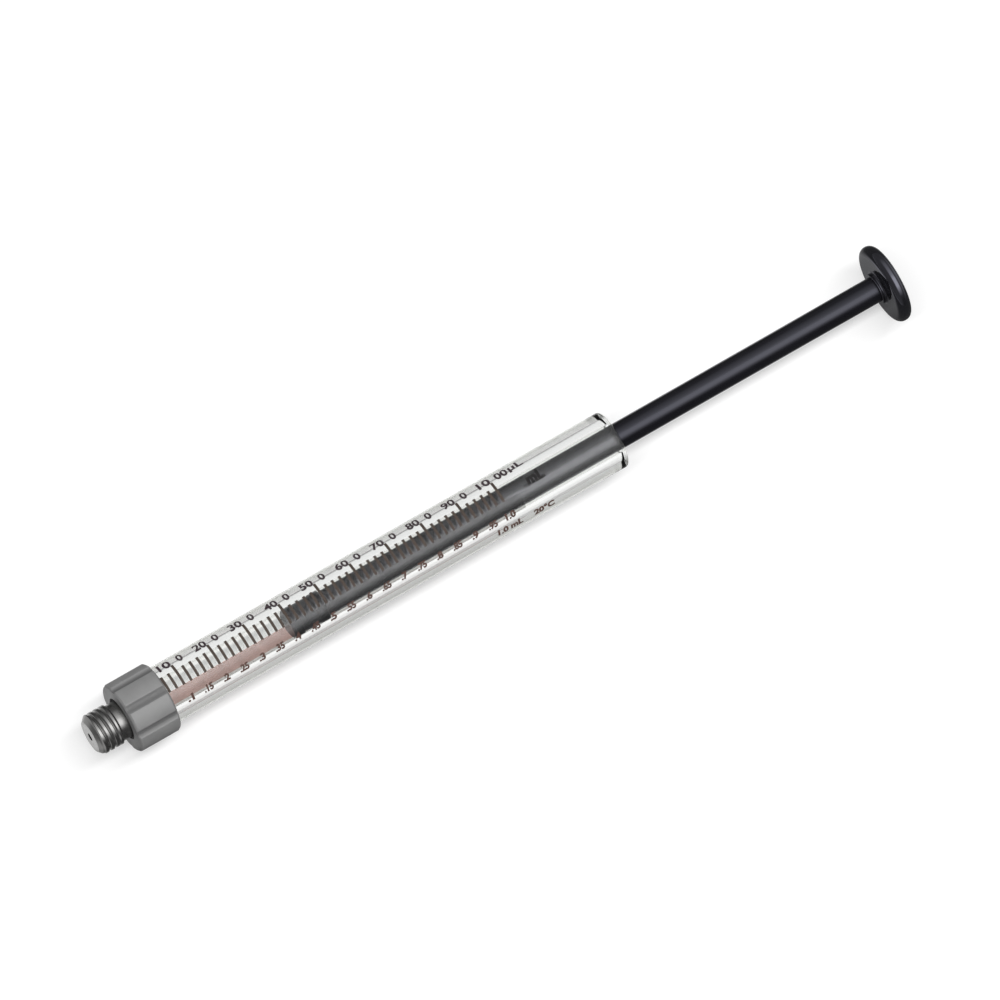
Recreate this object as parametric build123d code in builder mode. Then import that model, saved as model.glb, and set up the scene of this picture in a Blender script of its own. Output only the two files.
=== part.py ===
"""A one millilitre gas-tight syringe with a threaded port, lying on its side.

The syringe lies along X with its port towards -X and its push button towards +X. It rests on the button's
rim and on the clamp nut. The origin is on the surface it lies on, under the middle of its length.
Sizes are in millimetres. A station is a distance along the axis from the end face of the port.
"""

from build123d import *
import os

# Port fitting: a stainless turned piece with a quarter inch thread, a relief neck and a flange.
thread_d = 6.35
thread_length = 3.79
thread_chamfer = 0.74
neck_d = 5.74
neck_length = 1.54
neck_fillet = 0.3
flange_thickness = 1.2
flange_side_clearance = 0.15
passage_d = 1.2

# Clamp nut: a lobed grip whose front shoulder pulls the fitting's flange onto the seal.
nut_wall = 0.775
nut_length = 6.77
nut_shoulder = 1.2
nut_hole_clearance = 0.13
nut_end_chamfer = 0.3
groove_count = 8
groove_depth = 0.42
groove_cutter_r = 0.75
groove_edge_fillet = 0.3

# Glass barrel, and what seals and clamps its front end.
glass_d = 8.9
bore_d = 4.61
glass_length = 79.64
glass_end_fillet = 0.75
bore_mouth_fillet = 0.3
ground_depth = 0.75
ground_length = 2.9
ferrule_rim = 0.2
cement_gap = 0.05
seal_thickness = 1.13

# Plunger: a snap-on tip seal, a round rod and a push button.
rod_bore_gap = 0.345
rod_reach = 100.7
rod_end_chamfer = 0.15
tip_length = 6.0
tip_land_length = 1.6
tip_waist_depth = 0.12
tip_edge_chamfer = 0.15
snap_wall = 1.6
snap_head_d = 2.8
snap_head_length = 1.3
snap_neck_d = 2.0
button_d = 12.12
button_thickness = 2.2
button_rim_land = 0.1
collar_wall = 0.45
collar_length = 0.7
collar_root_fillet = 0.35
spigot_d = 2.6
spigot_length = 1.3

# How far the tip stands drawn back from the zero line, where it meets the end seal.
drawn_back = 24.16

# Clearances of the pieces that move on each other.
tip_bore_clearance = 0.02
snap_radial_clearance = 0.05
snap_end_clearance = 0.05

# Diameters that follow from the sizes above.
ground_d = glass_d - 2 * ground_depth
ferrule_d = glass_d + 2 * ferrule_rim
nut_d = ferrule_d + 2 * nut_wall
flange_d = ferrule_d - 2 * flange_side_clearance
rod_d = bore_d - 2 * rod_bore_gap
tip_d = bore_d - 2 * tip_bore_clearance

# Stations.
nut_front = thread_length + neck_length
flange_front = nut_front + nut_shoulder
seal_front = flange_front + flange_thickness
glass_front = seal_front + seal_thickness
ground_back = glass_front + ground_length
nut_back = nut_front + nut_length
glass_back = glass_front + glass_length
tip_front = glass_front + drawn_back
tip_back = tip_front + tip_length
pocket_front = tip_front + snap_wall
head_front = pocket_front + snap_end_clearance
head_back = head_front + snap_head_length
pocket_back = head_back + snap_end_clearance
rod_front = tip_back + snap_end_clearance
button_front = tip_front + rod_reach
button_back = button_front + button_thickness
spigot_back = button_front + spigot_length

# The axis is level, and its height is that of the widest round piece, which touches the surface.
axis_height = max(button_d, nut_d) / 2
port_x = -button_back / 2
syringe_axis = Axis((port_x, 0, axis_height), (1, 0, 0))

# A lengthwise section is drawn here as station and radius, and turned about the axis.
section_plane = Plane(origin=(port_x, 0, axis_height), x_dir=(1, 0, 0), z_dir=(0, -1, 0))

with BuildPart() as port_fitting:
    with BuildSketch(section_plane):
        with BuildLine():
            FilletPolyline(
                (0, passage_d / 2),
                (0, thread_d / 2 - thread_chamfer),
                (thread_chamfer, thread_d / 2),
                (thread_length, thread_d / 2),
                (thread_length, neck_d / 2),
                (flange_front, neck_d / 2),
                (flange_front, flange_d / 2),
                (seal_front, flange_d / 2),
                (seal_front, passage_d / 2),
                radius=[0, 0, 0, 0, neck_fillet, neck_fillet, 0, 0, 0],
                close=True,
            )
        make_face()
    revolve(axis=syringe_axis)
port_fitting.part.label = "port_fitting"

with BuildPart() as clamp_nut:
    # The outside: a round bar with scalloped grooves, one of them straight down.
    nut_face = Plane(
        origin=(port_x + nut_front, 0, axis_height), x_dir=(0, 1, 0), z_dir=(1, 0, 0)
    )
    with BuildSketch(nut_face) as nut_outline:
        Circle(nut_d / 2)
        with PolarLocations(nut_d / 2 - groove_depth + groove_cutter_r, groove_count):
            Circle(groove_cutter_r, mode=Mode.SUBTRACT)
        fillet(nut_outline.vertices(), radius=groove_edge_fillet)
    extrude(amount=nut_length)
    # The turned chamfer on both ends touches the lobes and not the grooves.
    with BuildSketch(section_plane):
        for end, inward in ((nut_front, nut_end_chamfer), (nut_back, -nut_end_chamfer)):
            with BuildLine():
                Polyline(
                    (end, nut_d / 2 - nut_end_chamfer),
                    (end, nut_d / 2 + nut_end_chamfer),
                    (end + 2 * inward, nut_d / 2 + nut_end_chamfer),
                    close=True,
                )
            make_face()
    revolve(axis=syringe_axis, mode=Mode.SUBTRACT)
    # The inside: a hole that the thread passes through, and the bore that turns on the ferrule.
    with BuildSketch(section_plane):
        with BuildLine():
            Polyline(
                (nut_front, 0),
                (nut_front, thread_d / 2 + nut_hole_clearance),
                (flange_front, thread_d / 2 + nut_hole_clearance),
                (flange_front, ferrule_d / 2),
                (nut_back, ferrule_d / 2),
                (nut_back, 0),
                close=True,
            )
        make_face()
    revolve(axis=syringe_axis, mode=Mode.SUBTRACT)
clamp_nut.part.label = "clamp_nut"

with BuildPart() as end_seal:
    with BuildSketch(section_plane):
        with BuildLine():
            Polyline(
                (seal_front, passage_d / 2),
                (seal_front, flange_d / 2),
                (glass_front, flange_d / 2),
                (glass_front, passage_d / 2),
                close=True,
            )
        make_face()
    revolve(axis=syringe_axis)
end_seal.part.label = "end_seal"

with BuildPart() as barrel_ferrule:
    with BuildSketch(section_plane):
        with BuildLine():
            Polyline(
                (glass_front, ground_d / 2 + cement_gap),
                (glass_front, ferrule_d / 2),
                (ground_back, ferrule_d / 2),
                (ground_back, ground_d / 2 + cement_gap),
                close=True,
            )
        make_face()
    revolve(axis=syringe_axis)
barrel_ferrule.part.label = "barrel_ferrule"

with BuildPart() as glass_barrel:
    with BuildSketch(section_plane):
        with BuildLine():
            FilletPolyline(
                (glass_front, bore_d / 2),
                (glass_front, ground_d / 2),
                (ground_back, ground_d / 2),
                (ground_back, glass_d / 2),
                (glass_back, glass_d / 2),
                (glass_back, bore_d / 2),
                radius=[0, 0, 0, 0, glass_end_fillet, bore_mouth_fillet],
                close=True,
            )
        make_face()
    revolve(axis=syringe_axis)
glass_barrel.part.label = "glass_barrel"

with BuildPart() as tip_seal:
    # Two lands wipe the bore, and a pocket at the back takes the rod's snap head.
    with BuildSketch(section_plane):
        with BuildLine():
            Polyline(
                (tip_front, 0),
                (tip_front, tip_d / 2 - tip_edge_chamfer),
                (tip_front + tip_edge_chamfer, tip_d / 2),
                (tip_front + tip_land_length, tip_d / 2),
                (tip_front + tip_land_length + tip_waist_depth, tip_d / 2 - tip_waist_depth),
                (tip_back - tip_land_length - tip_waist_depth, tip_d / 2 - tip_waist_depth),
                (tip_back - tip_land_length, tip_d / 2),
                (tip_back - tip_edge_chamfer, tip_d / 2),
                (tip_back, tip_d / 2 - tip_edge_chamfer),
                (tip_back, snap_neck_d / 2 + snap_radial_clearance),
                (pocket_back, snap_neck_d / 2 + snap_radial_clearance),
                (pocket_back, snap_head_d / 2 + snap_radial_clearance),
                (pocket_front, snap_head_d / 2 + snap_radial_clearance),
                (pocket_front, 0),
                close=True,
            )
        make_face()
    revolve(axis=syringe_axis)
tip_seal.part.label = "tip_seal"

with BuildPart() as plunger_rod:
    # From the snap head at the front to the spigot that the button is pressed onto.
    with BuildSketch(section_plane):
        with BuildLine():
            Polyline(
                (head_front, 0),
                (head_front, snap_head_d / 2),
                (head_back, snap_head_d / 2),
                (head_back, snap_neck_d / 2),
                (rod_front, snap_neck_d / 2),
                (rod_front, rod_d / 2 - rod_end_chamfer),
                (rod_front + rod_end_chamfer, rod_d / 2),
                (button_front, rod_d / 2),
                (button_front, spigot_d / 2),
                (spigot_back, spigot_d / 2),
                (spigot_back, 0),
                close=True,
            )
        make_face()
    revolve(axis=syringe_axis)
plunger_rod.part.label = "plunger_rod"

with BuildPart() as push_button:
    # A disc with a fully rounded rim, and a short collar that hugs the end of the rod.
    rim_r = (button_thickness - button_rim_land) / 2
    with BuildSketch(section_plane):
        with BuildLine():
            FilletPolyline(
                (button_front - collar_length, rod_d / 2),
                (button_front - collar_length, rod_d / 2 + collar_wall),
                (button_front, rod_d / 2 + collar_wall),
                (button_front, button_d / 2),
                (button_back, button_d / 2),
                (button_back, 0),
                (spigot_back, 0),
                (spigot_back, spigot_d / 2),
                (button_front, spigot_d / 2),
                (button_front, rod_d / 2),
                radius=[0, 0, collar_root_fillet, rim_r, rim_r, 0, 0, 0, 0, 0],
                close=True,
            )
        make_face()
    revolve(axis=syringe_axis)
push_button.part.label = "push_button"

pieces = (
    port_fitting,
    clamp_nut,
    end_seal,
    barrel_ferrule,
    glass_barrel,
    tip_seal,
    plunger_rod,
    push_button,
)
os.makedirs("parts", exist_ok=True)
for piece in pieces:
    export_step(piece.part, f"parts/{piece.part.label}.step")
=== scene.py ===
"""A gas-tight glass microsyringe on a pale studio floor.

Every piece is a surface worked out with numpy about one axis, and every finish is made of shader
nodes. Lengths are in metres. A station is a distance along the axis from the end face of the port,
and a print angle is measured round the barrel from straight up, towards -Y.
"""

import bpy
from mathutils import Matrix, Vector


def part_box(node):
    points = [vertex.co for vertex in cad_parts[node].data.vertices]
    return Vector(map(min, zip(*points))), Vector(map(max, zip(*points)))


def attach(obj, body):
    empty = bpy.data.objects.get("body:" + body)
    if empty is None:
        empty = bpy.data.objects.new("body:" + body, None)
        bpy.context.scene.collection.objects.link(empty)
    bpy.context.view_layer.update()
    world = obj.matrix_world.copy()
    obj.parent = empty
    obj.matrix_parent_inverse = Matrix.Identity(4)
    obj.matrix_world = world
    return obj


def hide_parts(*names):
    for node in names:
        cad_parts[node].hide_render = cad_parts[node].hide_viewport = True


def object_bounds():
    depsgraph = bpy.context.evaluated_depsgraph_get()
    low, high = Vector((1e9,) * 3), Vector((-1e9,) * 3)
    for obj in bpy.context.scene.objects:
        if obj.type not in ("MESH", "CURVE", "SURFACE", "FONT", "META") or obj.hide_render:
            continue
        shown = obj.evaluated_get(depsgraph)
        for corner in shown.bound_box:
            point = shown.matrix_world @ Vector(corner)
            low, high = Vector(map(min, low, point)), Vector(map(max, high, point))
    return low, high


bl_info = {
    "name": "Glass Microsyringe",
    "version": (1, 0, 0),
    "blender": (4, 5, 0),
    "location": "3D View > Sidebar > Microsyringe",
    "description": "Builds the looks of a one millilitre gas-tight syringe round its packed frame",
    "category": "Add Mesh",
}

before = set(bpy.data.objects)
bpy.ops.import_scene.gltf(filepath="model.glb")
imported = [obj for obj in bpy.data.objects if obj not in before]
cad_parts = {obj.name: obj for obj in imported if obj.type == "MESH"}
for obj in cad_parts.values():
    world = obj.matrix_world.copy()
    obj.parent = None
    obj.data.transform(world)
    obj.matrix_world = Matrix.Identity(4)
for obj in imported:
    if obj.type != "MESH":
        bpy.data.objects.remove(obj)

import math

import bmesh
import bpy
import numpy as np
from bpy.props import BoolProperty, FloatProperty, FloatVectorProperty, IntProperty
from bpy.props import PointerProperty, StringProperty
from mathutils import Matrix, Vector

CAD_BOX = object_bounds()
MM = 0.001

# Places read from the packed frame.
PORT_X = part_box("port_fitting")[0].x
GLASS_LOW, GLASS_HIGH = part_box("glass_barrel")
AXIS_HEIGHT = (GLASS_LOW.z + GLASS_HIGH.z) / 2


def station_of(x):
    """A station from a place along X."""
    return x - PORT_X


def radius_of(node):
    """Half of a CAD node's width across the axis."""
    low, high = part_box(node)
    return (high.y - low.y) / 2


def ends_of(node):
    """The stations of a CAD node's two ends."""
    low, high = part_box(node)
    return station_of(low.x), station_of(high.x)


SEAL_FRONT, GLASS_FRONT = ends_of("end_seal")
GLASS_BACK = ends_of("glass_barrel")[1]
GROUND_BACK = ends_of("barrel_ferrule")[1]
NUT_FRONT, NUT_BACK = ends_of("clamp_nut")
TIP_FRONT, TIP_BACK = ends_of("tip_seal")
HEAD_FRONT, SPIGOT_BACK = ends_of("plunger_rod")
COLLAR_FRONT, BUTTON_BACK = ends_of("push_button")
GLASS_R = radius_of("glass_barrel")
FERRULE_R = radius_of("barrel_ferrule")
FLANGE_R = radius_of("port_fitting")
TIP_R = radius_of("tip_seal")
ROD_R = radius_of("plunger_rod")
BUTTON_R = radius_of("push_button")

# The clamp nut: its wall over the ferrule, its front wall and its play round the port's thread.
NUT_R = FERRULE_R + 0.775 * MM
FLANGE_FRONT = NUT_FRONT + 1.2 * MM
NUT_CLEARANCE = 0.13 * MM

# The print: half its thickness, and the strips that a word is cut into.
INK_DEPTH = 0.01 * MM
TEXT_STRIPS = 8

WHITE = (1.0, 1.0, 1.0)
COOL = (0.83, 0.84, 1.0)


# ---------------------------------------------------------------- settings


def length_setting(name, description, default):
    """A property that holds a length."""
    kind = dict(min=0.0, unit="LENGTH", subtype="DISTANCE", precision=5)
    return FloatProperty(name=name, description=description, default=default, **kind)


def angle_setting(name, description, degrees):
    """A property that holds an angle, given in degrees."""
    kind = dict(default=math.radians(degrees), unit="ROTATION", subtype="ANGLE")
    return FloatProperty(name=name, description=description, **kind)


def share_setting(name, description, default):
    """A property that holds a number from 0 to 1."""
    kind = dict(min=0.0, max=1.0, subtype="FACTOR")
    return FloatProperty(name=name, description=description, default=default, **kind)


def colour_setting(name, description, default):
    """A property that holds a linear colour."""
    kind = dict(size=3, min=0.0, max=1.0, subtype="COLOR")
    return FloatVectorProperty(name=name, description=description, default=default, **kind)


class MicrosyringeBarrel(bpy.types.PropertyGroup):
    """Sizes and colours of the glass barrel."""

    bore_radius: length_setting("Bore radius", "Radius of the glass barrel's bore", 2.305 * MM)
    ground_radius: length_setting(
        "Ground radius", "Radius of the ground front end inside the ferrule", 3.7 * MM
    )
    end_round: length_setting("End round", "Rounding of the fire-polished rear edge", 0.5 * MM)
    mouth_round: length_setting(
        "Mouth round", "Rounding where the bore opens at the rear", 0.3 * MM
    )
    glass_colour: colour_setting("Glass", "Colour of the glass seen face on", (0.97, 0.98, 0.97))
    # Painted shade: the glass's colour turns to this grey where it is seen edge on.
    edge_colour: colour_setting(
        "Glass edge", "Colour of the glass where it is seen edge on", (0.60, 0.61, 0.57)
    )
    refraction: FloatProperty(
        name="Refraction",
        description="Index of refraction of the glass",
        default=1.47,
        min=1.0,
        max=2.0,
    )


class MicrosyringeFront(bpy.types.PropertyGroup):
    """Sizes and colours of the port fitting, the clamp nut and the seal."""

    thread_radius: length_setting("Thread radius", "Outer radius of the port's thread", 3.175 * MM)
    thread_length: length_setting("Thread length", "Length of the threaded stub", 3.79 * MM)
    thread_pitch: length_setting("Thread pitch", "Distance from crest to crest", 0.907 * MM)
    thread_depth: length_setting("Thread depth", "Depth of the thread's grooves", 0.26 * MM)
    port_chamfer: length_setting("Port chamfer", "Chamfer at the port's end", 0.74 * MM)
    neck_radius: length_setting("Neck radius", "Radius of the relief behind the thread", 2.87 * MM)
    passage_radius: length_setting("Passage radius", "Radius of the liquid passage", 0.6 * MM)
    groove_count: IntProperty(
        name="Grooves",
        description="Number of grip grooves round the nut",
        default=8,
        min=3,
        max=24,
    )
    groove_depth: length_setting("Groove depth", "Depth of the grip grooves", 0.42 * MM)
    groove_cutter: length_setting(
        "Groove cutter", "Radius of the cutter that makes a groove", 0.75 * MM
    )
    nut_chamfer: length_setting("Nut chamfer", "Turned chamfer at both ends of the nut", 0.3 * MM)
    steel_colour: colour_setting(
        "Steel", "Colour of the turned stainless steel", (0.30, 0.298, 0.293)
    )
    nut_colour: colour_setting("Nut", "Colour of the satin grey nut", (0.30, 0.30, 0.30))
    seal_colour: colour_setting("Seal", "Colour of the white seal", (0.84, 0.84, 0.82))


class MicrosyringePlunger(bpy.types.PropertyGroup):
    """Sizes and colours of the tip seal, the rod and the push button."""

    land_length: length_setting(
        "Land length", "Length of each wiping land on the tip seal", 1.6 * MM
    )
    waist_depth: length_setting(
        "Waist depth", "How much slimmer the tip seal is between its lands", 0.12 * MM
    )
    head_radius: length_setting("Snap head radius", "Radius of the rod's snap head", 1.4 * MM)
    neck_radius: length_setting(
        "Snap neck radius", "Radius of the neck behind the snap head", 1.0 * MM
    )
    collar_radius: length_setting("Collar radius", "Radius of the button's collar", 2.41 * MM)
    rim_round: length_setting("Button rim round", "Rounding of the button's rim", 1.05 * MM)
    rod_colour: colour_setting("Rod", "Colour of the black rod", (0.005, 0.005, 0.0065))
    button_colour: colour_setting("Button", "Colour of the black button", (0.004, 0.004, 0.0045))
    tip_colour: colour_setting("Tip seal", "Colour of the black tip seal", (0.008, 0.008, 0.010))


class MicrosyringeScale(bpy.types.PropertyGroup):
    """Sizes and colours of the print on the barrel."""

    tick_step: length_setting("Tick step", "Distance from one tick to the next", 1.2 * MM)
    tick_width: length_setting("Tick width", "Width of a tick", 0.42 * MM)
    tick_count: IntProperty(
        name="Steps",
        description="Number of steps from zero to full scale",
        default=50,
        min=10,
        max=100,
    )
    tick_start: angle_setting("Tick start", "Print angle where every tick begins", 8.5)
    short_end: angle_setting("Short end", "Print angle where a short tick ends", -25.5)
    long_end: angle_setting("Long end", "Print angle where a long tick ends", -38.5)
    digit_height: length_setting("Digit height", "Height of the main digits", 1.7 * MM)
    digit_width: length_setting("Digit width", "Width of a main digit", 0.95 * MM)
    digit_angle: angle_setting("Digit angle", "Print angle of the middle of the main digits", -47.0)
    unit: StringProperty(
        name="Unit", description="Unit printed after the last number", default="µL"
    )
    lower_unit: StringProperty(
        name="Lower unit", description="Unit of the lower row of digits", default="mL"
    )
    tint: BoolProperty(
        name="Bands",
        description="Add the tinted band and the shading band inside the glass",
        default=True,
    )
    tick_colour: colour_setting("Ticks", "Colour of the ticks", (0.072, 0.056, 0.047))
    digit_colour: colour_setting("Digits", "Colour of the main digits", (0.050, 0.036, 0.042))
    lower_colour: colour_setting(
        "Lower digits", "Colour of the lower row of digits", (0.10, 0.056, 0.045)
    )
    mark_colour: colour_setting(
        "Mark", "Colour of the mark behind full scale", (0.012, 0.011, 0.011)
    )
    tint_colour: colour_setting(
        "Tint", "Colour that the tinted band gives to white", (0.87, 0.585, 0.535)
    )
    tint_start: angle_setting("Tint start", "Print angle where the tinted band begins", 115.0)
    tint_end: angle_setting("Tint end", "Print angle where the tinted band ends", 186.0)
    # The shading band is painted shade: a grey film in the glass wall that darkens the rod's
    # highlight beside the scale.
    smoke_colour: colour_setting(
        "Smoke", "Colour that the smoky band gives to white", (0.74, 0.735, 0.73)
    )
    smoke_start: angle_setting("Smoke start", "Print angle where the smoky band begins", 8.0)
    smoke_end: angle_setting("Smoke end", "Print angle where the smoky band ends", 39.5)


class MicrosyringeStage(bpy.types.PropertyGroup):
    """The floor, the lamps and the camera."""

    floor_size: length_setting("Floor size", "Width of the square floor", 2.4)
    floor_glow: share_setting(
        "Floor glow", "Share of the floor's white that shows even in a shadow", 0.47
    )
    floor_paint: share_setting(
        "Floor paint", "Share of the floor's white that a shadow takes away", 0.56
    )
    lens: FloatProperty(
        name="Lens", description="Focal length", default=1000.0, min=1.0, unit="CAMERA"
    )
    frame_width: length_setting(
        "Frame width", "Width of the picture at the barrel", 1000 / 6.967 * MM
    )
    tilt_along: angle_setting("Tilt along", "How far the view leans towards the port's end", 13.0)
    tilt_across: angle_setting("Tilt across", "How far the view leans towards -Y", 7.0)
    roll: angle_setting(
        "Roll", "How far the syringe climbs from left to right in the picture", 29.705
    )


SETTINGS = {
    "microsyringe_barrel": MicrosyringeBarrel,
    "microsyringe_front": MicrosyringeFront,
    "microsyringe_plunger": MicrosyringePlunger,
    "microsyringe_scale": MicrosyringeScale,
    "microsyringe_stage": MicrosyringeStage,
}


# ---------------------------------------------------------------- surfaces


def rounded_section(corners, rounds, closed, steps=7, spacing=None):
    """A line of (station, radius) points with its corners rounded, and a wear value for each point.

    A corner P between unit directions a and b becomes the arc of radius r that touches both sides.
    It starts at P + a*t and ends at P + b*t, where t = r / tan(half the corner's angle), and its
    points swing from one end to the other about the centre at equal angles. Two more points hold
    each straight side flat next to its arcs, and spacing, where it is given, is about the longest
    step along a side. The wear value is 1 in the middle of an arc on an outward corner and 0 on the
    sides.
    """
    corners = np.asarray(corners, float)
    count = len(corners)
    radii = np.broadcast_to(np.asarray(rounds, float), count).copy()
    back = np.roll(corners, 1, axis=0) - corners
    on = np.roll(corners, -1, axis=0) - corners
    side = np.linalg.norm(on, axis=1)
    a = back / np.linalg.norm(back, axis=1)[:, None]
    b = on / side[:, None]
    half = np.arccos(np.clip((a * b).sum(1), -1, 1)) / 2
    if not closed:
        radii[[0, -1]] = 0
    reach = radii / np.tan(np.maximum(half, 1e-6))
    middle = a + b
    middle = middle / np.maximum(np.linalg.norm(middle, axis=1), 1e-12)[:, None]
    centre = corners + middle * (radii / np.sin(half))[:, None]
    first = corners + a * reach[:, None] - centre
    last = corners + b * reach[:, None] - centre
    sweep = math.pi - 2 * half
    share = np.linspace(0, 1, steps + 1)
    turning = a[:, 0] * b[:, 1] - a[:, 1] * b[:, 0]
    outward = np.sign(turning) == -np.sign(section_area(corners))
    lines, wears = [], []
    for i in range(count):
        if radii[i] > 0:
            swing = (
                np.sin((1 - share) * sweep[i])[:, None] * first[i]
                + np.sin(share * sweep[i])[:, None] * last[i]
            ) / math.sin(sweep[i])
            lines.append(centre[i] + swing)
            wears.append(np.sin(share * math.pi) * outward[i])
        else:
            lines.append(corners[i : i + 1])
            wears.append(np.zeros(1))
        if i == count - 1 and not closed:
            break
        after = (i + 1) % count
        start = corners[i] + b[i] * reach[i]
        free = side[i] - reach[i] - reach[after]
        if free <= 1e-7:
            continue
        hold = min(0.2, 0.06 * MM / free)
        inner = np.array([hold, 1 - hold])
        if spacing is not None:
            inner = np.linspace(hold, 1 - hold, max(2, int(free / spacing) + 1))
        lines.append(start + b[i] * (inner * free)[:, None])
        wears.append(np.zeros(len(inner)))
    return np.concatenate(lines), np.concatenate(wears)


def section_area(section):
    """Signed area of a section, by the shoelace formula: positive where it runs anticlockwise."""
    x, r = np.asarray(section, float).T
    return 0.5 * float(np.sum(x * np.roll(r, -1) - np.roll(x, -1) * r))


def grid_quads(rows, columns, close_rows):
    """Corner numbers of the quads between the rows of a grid whose columns run round and close."""
    row = np.arange(rows if close_rows else rows - 1)[:, None]
    column = np.arange(columns)[None, :]
    next_row, next_column = (row + 1) % rows, (column + 1) % columns
    corners = (
        row * columns + column,
        row * columns + next_column,
        next_row * columns + next_column,
        next_row * columns + column,
    )
    return np.stack(np.broadcast_arrays(*corners), -1).reshape(-1, 4)


def round_axis(station, radius, angle):
    """Points at a station, a distance from the axis and a print angle."""
    station, radius, angle = np.broadcast_arrays(station, radius, angle)
    return np.stack(
        (PORT_X + station, -radius * np.sin(angle), AXIS_HEIGHT + radius * np.cos(angle)),
        -1,
    )


def turned_surface(section, wear, turns, closed, radius_of_angle=None):
    """Points, faces and wear values of a section turned about the axis.

    Surface: station = section's station, radius = section's radius, or what radius_of_angle gives
    for that row and each angle, and the angle runs once round. An open section starts and ends on
    the axis and gets one point at each end, with a fan of triangles to the next row.
    """
    angle = np.arange(turns) / turns * 2 * math.pi
    rows = section if closed else section[1:-1]
    radius = np.repeat(rows[:, 1:2], turns, axis=1)
    if radius_of_angle is not None:
        radius = radius_of_angle(radius, angle[None, :])
    points = round_axis(rows[:, 0:1], radius, angle[None, :]).reshape(-1, 3)
    values = np.repeat(wear if closed else wear[1:-1], turns)
    faces = [grid_quads(len(rows), turns, closed)]
    if not closed:
        top = len(points)
        poles = round_axis(section[[0, -1], 0], np.zeros(2), np.zeros(2))
        points = np.concatenate([points, poles])
        values = np.append(values, [0.0, 0.0])
        here = np.arange(turns)
        after = (here + 1) % turns
        end = (len(rows) - 1) * turns
        faces.append(np.stack((np.full(turns, top), after, here), -1))
        faces.append(np.stack((np.full(turns, top + 1), end + here, end + after), -1))
    if section_area(section) > 0:
        faces = [f[:, ::-1] for f in faces]
    return points, faces, values


def new_object(name, data):
    """An object for its data, linked to the scene."""
    made = bpy.data.objects.new(name, data)
    bpy.context.scene.collection.objects.link(made)
    return made


def points_of(mesh):
    """A mesh's points as rows of three numbers."""
    points = np.empty(len(mesh.vertices) * 3)
    mesh.vertices.foreach_get("co", points)
    return points.reshape(-1, 3)


def give_values(mesh, name, values):
    """Stores a number for each point of a mesh, for its material to read."""
    attribute = mesh.attributes.new(name, "FLOAT", "POINT")
    attribute.data.foreach_set("value", np.asarray(values, np.float32))


def new_mesh(name, points, faces, wear=None, smooth=True):
    """A mesh from points and a list of face arrays, with the wear values as a point attribute."""
    mesh = bpy.data.meshes.new(name)
    polygons = [face for part in faces for face in part.tolist()]
    mesh.from_pydata(np.asarray(points, float).tolist(), [], polygons)
    if wear is not None:
        give_values(mesh, "worn_edge", wear)
    mesh.polygons.foreach_set("use_smooth", np.full(len(mesh.polygons), smooth))
    mesh.update()
    return mesh


def new_piece(name, mesh, material, body, replaced=()):
    """An object for a finished mesh. It rides on a body, takes its finish and stands for CAD nodes."""
    mesh.materials.append(material)
    piece = new_object(name, mesh)
    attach(piece, body)
    if replaced:
        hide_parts(*replaced)


def printed_piece(name, points, faces, material):
    """A thin flat-faced piece on or in the barrel, which stands for no CAD node."""
    new_piece(name, new_mesh(name, points, faces, smooth=False), material, "barrel")


def finish_node(node, material):
    """Gives a CAD node, which keeps its own shape, its material."""
    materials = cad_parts[node].data.materials
    materials.clear()
    materials.append(material)


def print_slabs(station, width, angle_from, angle_to, columns, radius=GLASS_R, depth=INK_DEPTH):
    """Thin bars bent round the axis, one for each station, in one mesh.

    A bar is a bent box: its station runs over width about its own, its angle runs in equal steps
    from angle_from to angle_to, and its radius runs from radius less depth to radius plus depth.
    """
    station = np.asarray(station, float)
    bars = len(station)
    share = np.linspace(0, 1, columns + 1)
    start = np.broadcast_to(angle_from, bars)[:, None]
    angle = start + (np.broadcast_to(angle_to, bars)[:, None] - start) * share
    # The four corners of a bar's cross section, in order round it: along the axis, then outwards.
    along = np.array([-0.5, 0.5, 0.5, -0.5]) * width
    out = np.array([-1.0, -1.0, 1.0, 1.0]) * depth
    points = round_axis(station[:, None, None] + along, radius + out, angle[:, :, None])
    sides = grid_quads(columns + 1, 4, close_rows=False)
    caps = np.array([[3, 2, 1, 0], [0, 1, 2, 3]]) + [[0], [4 * columns]]
    first_point = np.arange(bars)[:, None, None] * 4 * (columns + 1)
    faces = (np.concatenate([sides, caps]) + first_point).reshape(-1, 4)
    if np.mean(angle[:, -1] - angle[:, 0]) > 0:
        faces = faces[:, ::-1]
    return points.reshape(-1, 3), [faces]


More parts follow.
